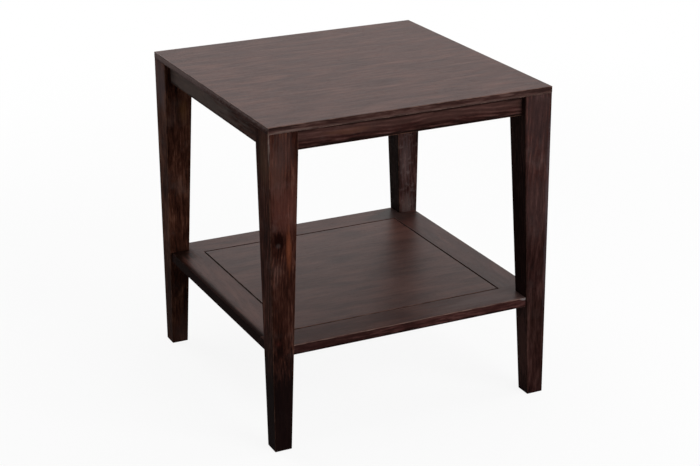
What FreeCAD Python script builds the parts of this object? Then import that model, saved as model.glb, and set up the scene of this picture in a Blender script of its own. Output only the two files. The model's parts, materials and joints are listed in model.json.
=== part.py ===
import FreeCAD, Part
import math
import os

import Sketcher

# End table with a shelf, in millimetres.
# Origin: on the floor, in the middle of the table. +X runs to the right, +Y to the back, +Z up.
# Every size that can be set by itself is a cell of the sheet Sizes. What follows from those
# cells is a formula in the sheet Places. Sketches, features and placements read both sheets.

drivingSizes = [
    ("tableWidth", 560, "left to right, over the legs"),
    ("tableDepth", 560, "front to back, over the legs"),
    ("tableHeight", 610, "floor to the upper face of the top"),
    ("topThickness", 13, "thickness of the top's planks"),
    ("topPlankCount", 5, "planks glued edge to edge in the top"),
    ("topArris", 1.2, "radius of the top's edges"),
    ("legHead", 56, "side of a leg beside the aprons"),
    ("legFoot", 33, "side of a leg at the floor"),
    ("legArris", 1.8, "radius of a leg's long edges"),
    ("footChamfer", 1, "chamfer round a leg's foot"),
    ("apronHeight", 38, "height of the aprons"),
    ("apronThickness", 20, "thickness of the aprons"),
    ("apronRecess", 12, "outer face of a leg to outer face of an apron"),
    ("apronArris", 1, "radius of an apron's lower edges"),
    ("tenonThickness", 8, "thickness of an apron's tenon"),
    ("tenonShoulder", 6, "apron above and below its tenon"),
    ("mitreGap", 0.5, "room between two mitred tenons, along the apron"),
    ("blockArm", 53, "corner block along the apron, from the leg"),
    ("blockHeight", 28, "height of the corner blocks"),
    ("shelfHeight", 202, "floor to the upper face of the shelf"),
    ("shelfThickness", 19, "thickness of the shelf's frame and panel"),
    ("shelfInset", 3, "outer face of a leg to edge of the shelf"),
    ("shelfArris", 1, "radius of the shelf's outer edges"),
    ("shelfFrameWidth", 61, "width of the shelf's rails and stiles"),
    ("notchFit", 0.1, "room between the shelf's notch and the leg"),
    ("panelGap", 2.5, "line left open between frame and panel"),
    ("panelPlankCount", 4, "planks glued edge to edge in the panel"),
    ("tongueThickness", 6, "thickness of the panel's tongue and of the stub tenons"),
    ("grooveDepth", 8, "depth of the frame's groove"),
    ("tongueRoom", 1, "end of a tongue or stub tenon to the bottom of its groove"),
    ("stubMortiseDepth", 16, "depth of a rail's mortise for a stub tenon"),
    ("stubShoulder", 8, "shelf's outer edge to its stub tenon"),
    ("dowelDiameter", 8, "dowels between rails and legs"),
    ("dowelLength", 32, "length of a dowel"),
    ("dowelChamfer", 1, "chamfer at a dowel's ends"),
    ("dowelEdge", 14, "outer face of a leg to the first dowel"),
    ("dowelSpacing", 15, "first dowel to second dowel"),
    ("dowelRoom", 1, "room at each end of a dowel"),
    ("dowelFit", 0.1, "play of a dowel in its hole, on the diameter"),
    ("screwDiameter", 4.5, "shank of a screw"),
    ("screwHeadDiameter", 10, "head of a screw"),
    ("screwHeadHeight", 3, "height of a screw's head"),
    ("screwHeadChamfer", 1, "chamfer round a screw's head"),
    ("screwPoint", 6, "length of a screw's point"),
    ("recessLength", 5, "length of the cross in a screw's head"),
    ("recessWidth", 1.2, "width of the cross in a screw's head"),
    ("recessDepth", 1.6, "depth of the cross in a screw's head"),
    ("screwFit", 0.1, "play of a screw in the hole that it bites in, on the diameter"),
    ("screwRoom", 1, "room past a screw's point"),
    ("legScrewLength", 45, "screw from a corner block into a leg"),
    ("legScrewHole", 5, "hole through a corner block for the leg's screw"),
    ("topScrewBite", 7, "how far a screw goes up into the top"),
    ("topScrewHole", 6.5, "hole through a corner block, wide enough for the top to move"),
    ("topScrewSetback", 18, "inner face of a leg to a top screw, along the apron"),
    ("topScrewInset", 12, "inner face of an apron to a top screw"),
]

workedOutPlaces = [
    ("legTop", "Sizes.tableHeight - Sizes.topThickness"),
    ("apronBottom", "legTop - Sizes.apronHeight"),
    ("apronInner", "Sizes.apronRecess + Sizes.apronThickness"),
    ("tenonHeight", "Sizes.apronHeight - 2 * Sizes.tenonShoulder"),
    ("tenonBottom", "apronBottom + Sizes.tenonShoulder"),
    ("tenonOuterCheek", "(Sizes.apronThickness - Sizes.tenonThickness) / 2"),
    ("tenonInnerCheek", "tenonOuterCheek + Sizes.tenonThickness"),
    ("mortiseOuterCheek", "Sizes.apronRecess + tenonOuterCheek"),
    ("mortiseInnerCheek", "Sizes.apronRecess + tenonInnerCheek"),
    ("blockBottom", "legTop - Sizes.blockHeight"),
    ("blockReach", "Sizes.legHead + Sizes.blockArm"),
    ("blockFace", "(blockReach + apronInner) / 2"),
    ("blockWood", "(blockFace - Sizes.legHead) * sqrt(2)"),
    ("legScrewLevel", "blockBottom + Sizes.blockHeight / 2"),
    ("legScrewDepth", "Sizes.legScrewLength - blockWood + Sizes.screwRoom"),
    ("topScrewLength", "Sizes.blockHeight + Sizes.topScrewBite"),
    ("topScrewAlong", "Sizes.legHead + Sizes.topScrewSetback"),
    ("topScrewAcross", "apronInner + Sizes.topScrewInset"),
    ("screwHole", "Sizes.screwDiameter + Sizes.screwFit"),
    ("topHalf", "Sizes.tableWidth / 2"),
    ("topPlankWidth", "Sizes.tableDepth / Sizes.topPlankCount"),
    ("shelfBottom", "Sizes.shelfHeight - Sizes.shelfThickness"),
    ("shelfMiddle", "Sizes.shelfHeight - Sizes.shelfThickness / 2"),
    ("legTaper", "(Sizes.legHead - Sizes.legFoot) / apronBottom"),
    ("legAtShelf", "Sizes.legFoot + legTaper * Sizes.shelfHeight"),
    ("notchSide", "legAtShelf + Sizes.notchFit - Sizes.shelfInset"),
    ("railHalf", "Sizes.tableWidth / 2 - Sizes.shelfInset"),
    ("notchStart", "railHalf - notchSide"),
    ("stileHalf", "Sizes.tableDepth / 2 - Sizes.shelfInset - Sizes.shelfFrameWidth"),
    ("tongueBottom", "(Sizes.shelfThickness - Sizes.tongueThickness) / 2"),
    ("tongueTop", "tongueBottom + Sizes.tongueThickness"),
    ("grooveFloor", "Sizes.shelfFrameWidth - Sizes.grooveDepth"),
    ("grooveHalf", "railHalf - grooveFloor"),
    ("stubReach", "stileHalf + Sizes.stubMortiseDepth - Sizes.tongueRoom"),
    ("panelEdge", "Sizes.shelfInset + Sizes.shelfFrameWidth + Sizes.panelGap"),
    ("panelHalf", "Sizes.tableWidth / 2 - panelEdge"),
    ("panelPlankWidth", "(Sizes.tableDepth - 2 * panelEdge) / Sizes.panelPlankCount"),
    ("tongueReach", "Sizes.panelGap + Sizes.grooveDepth - Sizes.tongueRoom"),
    ("dowelHole", "Sizes.dowelDiameter + Sizes.dowelFit"),
    ("dowelHoleDepth", "Sizes.dowelLength / 2 + Sizes.dowelRoom"),
    ("secondDowelEdge", "Sizes.dowelEdge + Sizes.dowelSpacing"),
]

# Each side's turn about Z, and the direction from the middle of the table to that side.
# A side piece is drawn as the front one, along X, with its outer face at y = 0.
sides = {
    "front": (0, 0, -1),
    "right": (90, 1, 0),
    "back": (180, 0, 1),
    "left": (270, -1, 0),
}

# Each corner's turn about Z, and the direction from the middle of the table to that corner.
# A corner piece is drawn as the front left one, with the leg's outer corner at x = 0, y = 0.
corners = {
    "front_left": (0, -1, -1),
    "front_right": (90, 1, -1),
    "back_right": (180, 1, 1),
    "back_left": (270, -1, 1),
}

# The top screws of a corner, each by its distance from the table's two plan edges.
topScrewInsets = (
    ("Places.topScrewAlong", "Places.topScrewAcross"),
    ("Places.topScrewAcross", "Places.topScrewAlong"),
)

up = FreeCAD.Vector(0, 0, 1)
tolerance = 0.01

doc = FreeCAD.newDocument("EndTable")
subParts = []
cuts = []


# ---------------------------------------------------------------- sheets

def fillSheet(name, rows):
    """Makes a sheet with one name, value and note in each row, and the name as the alias."""
    sheet = doc.addObject("Spreadsheet::Sheet", name)
    for number, (alias, value, note) in enumerate(rows, start=1):
        sheet.set(f"A{number}", alias)
        sheet.set(f"B{number}", str(value))
        sheet.setAlias(f"B{number}", alias)
        sheet.set(f"C{number}", note)
    doc.recompute()
    return sheet


fillSheet("Sizes", drivingSizes)
places = fillSheet("Places", [(alias, "=" + formula, "worked out") for alias, formula in workedOutPlaces])


def valueOf(formula):
    return float(places.evalExpression(formula))


# ---------------------------------------------------------------- bodies, sketches and features

def newBody(label, rotation=None, x=None, y=None, z=None):
    """Makes a body whose place is bound to the formulas x, y and z."""
    body = doc.addObject("PartDesign::Body", label)
    body.Label = label
    body.Placement = FreeCAD.Placement(FreeCAD.Vector(), rotation or FreeCAD.Rotation())
    for axis, formula in (("x", x), ("y", y), ("z", z)):
        if formula:
            body.setExpression(f"Placement.Base.{axis}", formula)
    subParts.append(body)
    return body


def sideBody(label, side, inset, z):
    """Makes a body for one side, whose outer face lies inset from the legs' outer faces."""
    turn, towardX, towardY = sides[side]
    x = f"{towardX} * (Sizes.tableWidth / 2 - {inset})" if towardX else None
    y = f"{towardY} * (Sizes.tableDepth / 2 - {inset})" if towardY else None
    return newBody(label, FreeCAD.Rotation(up, turn), x, y, z)


def cornerBody(label, corner, z=None):
    """Makes a body for one corner, with its origin under the leg's outer corner."""
    turn, towardX, towardY = corners[corner]
    x = f"{towardX} * Sizes.tableWidth / 2"
    y = f"{towardY} * Sizes.tableDepth / 2"
    return newBody(label, FreeCAD.Rotation(up, turn), x, y, z)


def newSketch(body, role, offset=None):
    """Makes a sketch on one of the body's origin planes, moved along the plane's normal."""
    sketch = body.newObject("Sketcher::SketchObject", "Sketch")
    plane = next(item for item in body.Origin.OriginFeatures if item.Role == role)
    sketch.AttachmentSupport = [(plane, "")]
    sketch.MapMode = "FlatFace"
    if offset:
        sketch.setExpression("AttachmentOffset.Base.z", offset)
    return sketch


def facingSketch(body, axis, distance):
    """Makes a sketch at a distance along X or Y. The normal of an XZ plane is -Y."""
    if axis == "X":
        return newSketch(body, "YZ_Plane", distance)
    return newSketch(body, "XZ_Plane", f"-({distance})")


def diagonalSketch(body, distance):
    """Makes an upright sketch across the diagonal x = y, at x = y = distance, facing outwards."""
    sketch = newSketch(body, "XZ_Plane", f"-({distance})")
    sketch.AttachmentOffset = FreeCAD.Placement(
        FreeCAD.Vector(), FreeCAD.Rotation(FreeCAD.Vector(0, 1, 0), -45))
    sketch.setExpression("AttachmentOffset.Base.x", distance)
    return sketch


def bindPoint(sketch, geometry, end, point):
    """Holds one point of a sketch at its formulas for x and y."""
    for kind, axis, formula in (("DistanceX", -2, point[0]), ("DistanceY", -1, point[1])):
        if formula == "0":
            sketch.addConstraint(Sketcher.Constraint("PointOnObject", geometry, end, axis))
            continue
        distance = Sketcher.Constraint(kind, -1, 1, geometry, end, valueOf(formula))
        number = sketch.addConstraint(distance)
        sketch.setExpression(f"Constraints[{number}]", formula)


def drawOutline(sketch, points):
    """Draws a closed outline of straight lines through points, each a pair of formulas."""
    ends = [FreeCAD.Vector(valueOf(x), valueOf(y)) for x, y in points]
    lines = []
    for start, end in zip(ends, ends[1:] + ends[:1]):
        lines.append(sketch.addGeometry(Part.LineSegment(start, end)))
    for line, following, point in zip(lines, lines[1:] + lines[:1], points):
        sketch.addConstraint(Sketcher.Constraint("Coincident", line, 2, following, 1))
        bindPoint(sketch, line, 1, point)


def drawRectangle(sketch, left, low, right, high):
    drawOutline(sketch, [(left, low), (right, low), (right, high), (left, high)])


def drawRoundedSquare(sketch, side, radius):
    """Draws a square with rounded corners and one corner at the origin."""
    far = f"{side} - {radius}"
    centres = [(radius, radius), (far, radius), (far, far), (radius, far)]
    size = valueOf(radius)
    arcs = []
    for number, (x, y) in enumerate(centres):
        circle = Part.Circle(FreeCAD.Vector(valueOf(x), valueOf(y)), up, size)
        start = math.pi + number * math.pi / 2
        arcs.append(sketch.addGeometry(Part.ArcOfCircle(circle, start, start + math.pi / 2)))
        bindPoint(sketch, arcs[-1], 3, (x, y))
    for arc in arcs[1:]:
        sketch.addConstraint(Sketcher.Constraint("Equal", arcs[0], arc))
    number = sketch.addConstraint(Sketcher.Constraint("Radius", arcs[0], size))
    sketch.setExpression(f"Constraints[{number}]", radius)
    for arc, following in zip(arcs, arcs[1:] + arcs[:1]):
        line = sketch.addGeometry(Part.LineSegment(sketch.getPoint(arc, 2), sketch.getPoint(following, 1)))
        sketch.addConstraint(Sketcher.Constraint("Tangent", arc, 2, line, 1))
        sketch.addConstraint(Sketcher.Constraint("Tangent", line, 2, following, 1))


def drawCircle(sketch, x, y, diameter):
    centre = FreeCAD.Vector(valueOf(x), valueOf(y))
    circle = sketch.addGeometry(Part.Circle(centre, up, valueOf(diameter) / 2))
    bindPoint(sketch, circle, 3, (x, y))
    number = sketch.addConstraint(Sketcher.Constraint("Diameter", circle, valueOf(diameter)))
    sketch.setExpression(f"Constraints[{number}]", diameter)


def padSketch(body, sketch, length):
    pad = body.newObject("PartDesign::Pad", "Pad")
    pad.Profile = sketch
    pad.setExpression("Length", length)
    return pad


def cutSketch(body, sketch, depth=None, alongNormal=False):
    """Cuts a sketch to a depth, or right through. A pocket goes against the sketch's normal."""
    pocket = body.newObject("PartDesign::Pocket", "Pocket")
    pocket.Profile = sketch
    pocket.Reversed = alongNormal
    if depth:
        pocket.setExpression("Length", depth)
    else:
        pocket.Type = "ThroughAll"
    cuts.append(pocket)
    return pocket


def turnSketch(body, sketch):
    """Turns a half profile round the sketch's upright axis."""
    revolution = body.newObject("PartDesign::Revolution", "Revolution")
    revolution.Profile = sketch
    revolution.ReferenceAxis = (sketch, ["V_Axis"])
    revolution.Angle = 360
    return revolution


def dressEdges(body, kind, sizeName, formula, chosen):
    """Rounds or chamfers the edges of the body's tip for which chosen(edge) is true."""
    doc.recompute()
    base = body.Tip
    names = [f"Edge{number}" for number, edge in enumerate(base.Shape.Edges, start=1) if chosen(edge)]
    dressUp = body.newObject(f"PartDesign::{kind}", kind)
    dressUp.Base = (base, names)
    dressUp.setExpression(sizeName, formula)
    return dressUp


def roundEdges(body, radius, chosen):
    return dressEdges(body, "Fillet", "Radius", radius, chosen)


def isUpright(edge):
    """True for an edge that rises by more than half its length."""
    box = edge.BoundBox
    return box.ZLength > edge.Length / 2


def isLowLongEdge(edge):
    """True for an edge along X at z = 0."""
    box = edge.BoundBox
    return box.ZMax < tolerance and box.XLength > box.YLength


def isOuterLongEdge(edge):
    """True for an edge along X at y = 0."""
    return edge.BoundBox.YMax < tolerance and not isUpright(edge)


# ---------------------------------------------------------------- legs, aprons and corner blocks

def cutDowelHoles(body, axis, faceAt, depth, edges, level, alongNormal):
    """Drills the two dowel holes of one corner, side by side, into a face across the axis."""
    holes = facingSketch(body, axis, faceAt)
    for edge in edges:
        drawCircle(holes, edge, level, "Places.dowelHole")
    cutSketch(body, holes, depth, alongNormal)


def makeLeg(corner):
    """A square leg with two tapered inner faces, two mortises, dowel holes and a screw hole."""
    leg = cornerBody(f"leg_{corner}", corner)
    foot = newSketch(leg, "XY_Plane")
    drawRoundedSquare(foot, "Sizes.legFoot", "Sizes.legArris")
    head = newSketch(leg, "XY_Plane", "Places.apronBottom")
    drawRoundedSquare(head, "Sizes.legHead", "Sizes.legArris")
    taper = leg.newObject("PartDesign::AdditiveLoft", "Taper")
    taper.Profile = foot
    taper.Sections = [head]
    taper.Ruled = True
    padSketch(leg, head, "Sizes.apronHeight")
    dressEdges(leg, "Chamfer", "Size", "Sizes.footChamfer", lambda edge: edge.BoundBox.ZMax < tolerance)

    for axis in ("X", "Y"):
        mortise = facingSketch(leg, axis, "Sizes.legHead")
        drawRectangle(
            mortise,
            "Places.mortiseOuterCheek", "Places.tenonBottom",
            "Places.mortiseInnerCheek", "Places.tenonBottom + Places.tenonHeight",
        )
        cutSketch(leg, mortise, "Sizes.legHead - Places.mortiseOuterCheek", alongNormal=axis == "Y")

    # The dowels of every leg lie along the table's X, which a quarter turn makes the leg's Y.
    turn = corners[corner][0]
    dowelAxis = "X" if turn % 180 == 0 else "Y"
    cutDowelHoles(
        leg, dowelAxis, "Sizes.legHead",
        "Sizes.legHead - Places.legAtShelf + Places.dowelHoleDepth",
        ("Sizes.dowelEdge", "Places.secondDowelEdge"), "Places.shelfMiddle",
        alongNormal=dowelAxis == "Y",
    )

    screwHole = diagonalSketch(leg, "Sizes.legHead")
    drawCircle(screwHole, "0", "Places.legScrewLevel", "Places.screwHole")
    cutSketch(leg, screwHole, "Places.legScrewDepth", alongNormal=True)


def makeApron(side, span):
    """A board between two legs, with a mitred tenon at each end."""
    apron = sideBody(f"apron_{side}", side, "Sizes.apronRecess", "Places.apronBottom")
    shoulder = f"({span} / 2 - Sizes.legHead)"
    board = newSketch(apron, "XY_Plane")
    drawRectangle(board, f"-{shoulder}", "0", shoulder, "Sizes.apronThickness")
    padSketch(apron, board, "Sizes.apronHeight")
    roundEdges(apron, "Sizes.apronArris", isLowLongEdge)

    # One strip through the board makes both tenons.
    longTip = f"({span} / 2 - Places.mortiseOuterCheek - Sizes.mitreGap)"
    shortTip = f"({span} / 2 - Places.mortiseInnerCheek - Sizes.mitreGap)"
    tenons = newSketch(apron, "XY_Plane", "Sizes.tenonShoulder")
    drawOutline(tenons, [
        (f"-{longTip}", "Places.tenonOuterCheek"),
        (longTip, "Places.tenonOuterCheek"),
        (shortTip, "Places.tenonInnerCheek"),
        (f"-{shortTip}", "Places.tenonInnerCheek"),
    ])
    padSketch(apron, tenons, "Places.tenonHeight")


def makeCornerBlock(corner):
    """A block that fits round the leg's inner corner, between two aprons and under the top."""
    block = cornerBody(f"corner_block_{corner}", corner, "Places.blockBottom")
    outline = newSketch(block, "XY_Plane")
    drawOutline(outline, [
        ("Sizes.legHead", "Places.apronInner"),
        ("Places.blockReach", "Places.apronInner"),
        ("Places.apronInner", "Places.blockReach"),
        ("Places.apronInner", "Sizes.legHead"),
        ("Sizes.legHead", "Sizes.legHead"),
    ])
    padSketch(block, outline, "Sizes.blockHeight")

    legScrewHole = diagonalSketch(block, "Places.apronInner")
    drawCircle(legScrewHole, "0", "Sizes.blockHeight / 2", "Sizes.legScrewHole")
    cutSketch(block, legScrewHole)

    topScrewHoles = newSketch(block, "XY_Plane")
    drawCircle(topScrewHoles, "Places.topScrewAlong", "Places.topScrewAcross", "Sizes.topScrewHole")
    drawCircle(topScrewHoles, "Places.topScrewAcross", "Places.topScrewAlong", "Sizes.topScrewHole")
    cutSketch(block, topScrewHoles, alongNormal=True)


# ---------------------------------------------------------------- screws and dowels

def makeScrew(label, rotation, x, y, z, length):
    """A pan head screw along its own +Z, with the underside of its head at z = 0."""
    screw = newBody(label, rotation, x, y, z)
    profile = newSketch(screw, "XZ_Plane")
    drawOutline(profile, [
        ("0", "-Sizes.screwHeadHeight"),
        ("Sizes.screwHeadDiameter / 2 - Sizes.screwHeadChamfer", "-Sizes.screwHeadHeight"),
        ("Sizes.screwHeadDiameter / 2", "Sizes.screwHeadChamfer - Sizes.screwHeadHeight"),
        ("Sizes.screwHeadDiameter / 2", "0"),
        ("Sizes.screwDiameter / 2", "0"),
        ("Sizes.screwDiameter / 2", f"{length} - Sizes.screwPoint"),
        ("0", length),
    ])
    turnSketch(screw, profile)

    arm = "Sizes.recessLength / 2"
    edge = "Sizes.recessWidth / 2"
    recess = newSketch(screw, "XY_Plane", "-Sizes.screwHeadHeight")
    drawOutline(recess, [
        (arm, f"-{edge}"), (arm, edge), (edge, edge), (edge, arm), (f"-{edge}", arm), (f"-{edge}", edge),
        (f"-{arm}", edge), (f"-{arm}", f"-{edge}"), (f"-{edge}", f"-{edge}"), (f"-{edge}", f"-{arm}"),
        (edge, f"-{arm}"), (edge, f"-{edge}"),
    ])
    cutSketch(screw, recess, "Sizes.recessDepth", alongNormal=True)


def makeLegScrew(corner):
    """The screw through a corner block, along the diagonal, into the leg."""
    towardX, towardY = corners[corner][1:]
    makeScrew(
        f"leg_screw_{corner}",
        FreeCAD.Rotation(up, FreeCAD.Vector(towardX, towardY, 0)),
        f"{towardX} * (Sizes.tableWidth / 2 - Places.blockFace)",
        f"{towardY} * (Sizes.tableDepth / 2 - Places.blockFace)",
        "Places.legScrewLevel",
        "Sizes.legScrewLength",
    )


def makeTopScrews(corner):
    """The two screws up through a corner block into the top."""
    towardX, towardY = corners[corner][1:]
    for number, (insetX, insetY) in enumerate(topScrewInsets, start=1):
        makeScrew(
            f"top_screw_{corner}_{number}",
            None,
            f"{towardX} * (Sizes.tableWidth / 2 - {insetX})",
            f"{towardY} * (Sizes.tableDepth / 2 - {insetY})",
            "Places.blockBottom",
            "Places.topScrewLength",
        )


def makeShelfDowels(corner):
    """The two dowels along X between a leg and the end of a rail."""
    towardX, towardY = corners[corner][1:]
    for number, edge in enumerate(("Sizes.dowelEdge", "Places.secondDowelEdge"), start=1):
        dowel = newBody(
            f"shelf_dowel_{corner}_{number}",
            FreeCAD.Rotation(up, FreeCAD.Vector(1, 0, 0)),
            f"{towardX} * (Sizes.tableWidth / 2 - Places.legAtShelf) - Sizes.dowelLength / 2",
            f"{towardY} * (Sizes.tableDepth / 2 - {edge})",
            "Places.shelfMiddle",
        )
        profile = newSketch(dowel, "XZ_Plane")
        radius = "Sizes.dowelDiameter / 2"
        drawOutline(profile, [
            ("0", "0"),
            (f"{radius} - Sizes.dowelChamfer", "0"),
            (radius, "Sizes.dowelChamfer"),
            (radius, "Sizes.dowelLength - Sizes.dowelChamfer"),
            (f"{radius} - Sizes.dowelChamfer", "Sizes.dowelLength"),
            ("0", "Sizes.dowelLength"),
        ])
        turnSketch(dowel, profile)


# ---------------------------------------------------------------- top

def makeTopPlank(index, count):
    """One plank of the top, counted from the front, with its front edge at y = 0."""
    plank = newBody(
        f"top_plank_{index + 1}",
        y=f"{index} * Places.topPlankWidth - Sizes.tableDepth / 2",
        z="Places.legTop",
    )
    face = newSketch(plank, "XY_Plane")
    drawRectangle(face, "-Places.topHalf", "0", "Places.topHalf", "Places.topPlankWidth")
    padSketch(plank, face, "Sizes.topThickness")

    isFirst = index == 0
    isLast = index == count - 1
    half = valueOf("Places.topHalf")
    width = valueOf("Places.topPlankWidth")

    def isOnOutline(edge):
        centre = edge.CenterOfMass
        isOnFront = isFirst and centre.y < tolerance
        isOnBack = isLast and centre.y > width - tolerance
        isOnEnd = abs(centre.x) > half - tolerance and not isUpright(edge)
        return isOnFront or isOnBack or isOnEnd

    roundEdges(plank, "Sizes.topArris", isOnOutline)
    if isFirst or isLast:
        holes = newSketch(plank, "XY_Plane")
        for insetX, insetY in topScrewInsets:
            for sign in ("", "-"):
                fromFront = insetY if isFirst else f"Places.topPlankWidth - {insetY}"
                drawCircle(holes, f"{sign}(Places.topHalf - {insetX})", fromFront, "Places.screwHole")
        cutSketch(plank, holes, "Sizes.topScrewBite + Sizes.screwRoom", alongNormal=True)


# ---------------------------------------------------------------- shelf

def cutPanelGroove(body, half):
    """Cuts the groove for the panel's tongue into a frame piece's inner edge, from -half to half."""
    groove = facingSketch(body, "X", half)
    inner = "Sizes.shelfFrameWidth"
    drawRectangle(groove, "Places.grooveFloor", "Places.tongueBottom", inner, "Places.tongueTop")
    cutSketch(body, groove, f"2 * {half}")


def makeShelfRail(side):
    """A rail along X, notched round a leg at each end, with a groove and two mortises inside."""
    rail = sideBody(f"shelf_rail_{side}", side, "Sizes.shelfInset", "Places.shelfBottom")
    outline = newSketch(rail, "XY_Plane")
    drawOutline(outline, [
        ("-Places.notchStart", "0"),
        ("Places.notchStart", "0"),
        ("Places.notchStart", "Places.notchSide"),
        ("Places.railHalf", "Places.notchSide"),
        ("Places.railHalf", "Sizes.shelfFrameWidth"),
        ("-Places.railHalf", "Sizes.shelfFrameWidth"),
        ("-Places.railHalf", "Places.notchSide"),
        ("-Places.notchStart", "Places.notchSide"),
    ])
    padSketch(rail, outline, "Sizes.shelfThickness")
    half = valueOf("Places.railHalf")

    def isOnOutline(edge):
        centre = edge.CenterOfMass
        isOutside = centre.y < tolerance or abs(centre.x) > half - tolerance
        return isOutside and not isUpright(edge)

    roundEdges(rail, "Sizes.shelfArris", isOnOutline)

    cutPanelGroove(rail, "Places.grooveHalf")

    mortises = facingSketch(rail, "Y", "Sizes.shelfFrameWidth")
    outerEnd = "(Places.railHalf - Sizes.stubShoulder)"
    drawRectangle(mortises, "Places.grooveHalf", "Places.tongueBottom", outerEnd, "Places.tongueTop")
    drawRectangle(mortises, f"-{outerEnd}", "Places.tongueBottom", "-Places.grooveHalf", "Places.tongueTop")
    cutSketch(rail, mortises, "Sizes.stubMortiseDepth", alongNormal=True)

    edges = ("Sizes.dowelEdge - Sizes.shelfInset", "Places.secondDowelEdge - Sizes.shelfInset")
    for faceAt, alongNormal in (("Places.notchStart", False), ("-Places.notchStart", True)):
        cutDowelHoles(
            rail, "X", faceAt, "Places.dowelHoleDepth - Sizes.notchFit",
            edges, "Sizes.shelfThickness / 2", alongNormal,
        )


def makeShelfStile(side):
    """A stile along Y between the rails, with a stub tenon at each end and a groove inside."""
    stile = sideBody(f"shelf_stile_{side}", side, "Sizes.shelfInset", "Places.shelfBottom")
    board = newSketch(stile, "XY_Plane")
    drawRectangle(board, "-Places.stileHalf", "0", "Places.stileHalf", "Sizes.shelfFrameWidth")
    padSketch(stile, board, "Sizes.shelfThickness")
    roundEdges(stile, "Sizes.shelfArris", isOuterLongEdge)

    # One strip through the board makes both stub tenons.
    stubs = newSketch(stile, "XY_Plane", "Places.tongueBottom")
    drawRectangle(stubs, "-Places.stubReach", "Sizes.stubShoulder", "Places.stubReach", "Places.grooveFloor")
    padSketch(stile, stubs, "Sizes.tongueThickness")

    cutPanelGroove(stile, "Places.stileHalf")


def makePanelPlank(index, count):
    """One plank of the shelf's panel, counted from the front, with a tongue on its outer edges."""
    plank = newBody(
        f"shelf_panel_plank_{index + 1}",
        y=f"{index} * Places.panelPlankWidth + Places.panelEdge - Sizes.tableDepth / 2",
        z="Places.shelfBottom",
    )
    face = newSketch(plank, "XY_Plane")
    drawRectangle(face, "-Places.panelHalf", "0", "Places.panelHalf", "Places.panelPlankWidth")
    padSketch(plank, face, "Sizes.shelfThickness")

    front = "-Places.tongueReach" if index == 0 else "0"
    back = "Places.panelPlankWidth"
    if index == count - 1:
        back += " + Places.tongueReach"
    end = "(Places.panelHalf + Places.tongueReach)"
    tongue = newSketch(plank, "XY_Plane", "Places.tongueBottom")
    drawRectangle(tongue, f"-{end}", front, end, back)
    padSketch(plank, tongue, "Sizes.tongueThickness")


# ---------------------------------------------------------------- the table

for cornerName in corners:
    makeLeg(cornerName)
    makeCornerBlock(cornerName)
    makeLegScrew(cornerName)
    makeTopScrews(cornerName)
    makeShelfDowels(cornerName)

for sideName in sides:
    makeApron(sideName, "Sizes.tableWidth" if sideName in ("front", "back") else "Sizes.tableDepth")

topPlankCount = int(valueOf("Sizes.topPlankCount"))
for plankIndex in range(topPlankCount):
    makeTopPlank(plankIndex, topPlankCount)

for sideName in ("front", "back"):
    makeShelfRail(sideName)
for sideName in ("left", "right"):
    makeShelfStile(sideName)

panelPlankCount = int(valueOf("Sizes.panelPlankCount"))
for plankIndex in range(panelPlankCount):
    makePanelPlank(plankIndex, panelPlankCount)

doc.recompute()


# ---------------------------------------------------------------- checks and files

for item in doc.Objects:
    if "Invalid" in item.State or "Error" in item.State:
        raise RuntimeError(f"{item.Label} did not recompute: {item.State}")

for pocket in cuts:
    if pocket.Shape.Volume > pocket.BaseFeature.Shape.Volume - tolerance:
        raise RuntimeError(f"{pocket.Label} cuts nothing")

for body in subParts:
    if body.Shape.isNull() or not body.Shape.isValid() or len(body.Shape.Solids) != 1:
        raise RuntimeError(f"{body.Label} is not one valid solid")

os.makedirs("parts", exist_ok=True)
for body in subParts:
    body.Shape.exportStep(f"parts/{body.Label}.step")
    print(f"{body.Label}: {body.Shape.Volume / 1000:.1f} cm3")
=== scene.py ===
import json
import math

import bmesh
import bpy
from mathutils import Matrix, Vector

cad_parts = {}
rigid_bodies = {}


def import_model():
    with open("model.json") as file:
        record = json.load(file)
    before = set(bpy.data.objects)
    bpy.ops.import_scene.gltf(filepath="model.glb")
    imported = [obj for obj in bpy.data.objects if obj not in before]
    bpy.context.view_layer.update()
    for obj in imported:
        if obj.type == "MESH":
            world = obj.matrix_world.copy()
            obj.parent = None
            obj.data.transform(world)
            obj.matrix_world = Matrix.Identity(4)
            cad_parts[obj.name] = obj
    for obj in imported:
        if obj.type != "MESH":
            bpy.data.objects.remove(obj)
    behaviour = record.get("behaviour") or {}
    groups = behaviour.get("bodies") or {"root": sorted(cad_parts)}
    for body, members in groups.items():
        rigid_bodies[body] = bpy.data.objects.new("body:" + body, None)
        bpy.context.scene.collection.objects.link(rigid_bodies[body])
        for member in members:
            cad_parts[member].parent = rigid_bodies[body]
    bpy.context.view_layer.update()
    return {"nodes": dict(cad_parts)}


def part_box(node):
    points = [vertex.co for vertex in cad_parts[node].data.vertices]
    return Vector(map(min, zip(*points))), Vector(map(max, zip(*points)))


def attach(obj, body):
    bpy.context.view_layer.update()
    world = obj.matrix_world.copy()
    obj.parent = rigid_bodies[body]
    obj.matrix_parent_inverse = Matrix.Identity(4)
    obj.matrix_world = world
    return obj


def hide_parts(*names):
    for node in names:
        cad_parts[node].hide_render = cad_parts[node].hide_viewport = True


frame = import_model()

scene = bpy.context.scene


def addNode(tree, kind, sockets=None, **settings):
    # sockets: input name or number -> a value, or another node's output
    node = tree.nodes.new(kind)
    for name, value in settings.items():
        setattr(node, name, value)
    for name, value in (sockets or {}).items():
        if isinstance(value, bpy.types.NodeSocket):
            tree.links.new(value, node.inputs[name])
        else:
            node.inputs[name].default_value = value
    return node


def calc(tree, operation, a, b=0.0, c=0.0, clamp=False):
    kind = "ShaderNodeMath"
    return addNode(tree, kind, {0: a, 1: b, 2: c}, operation=operation, use_clamp=clamp).outputs[0]


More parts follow.
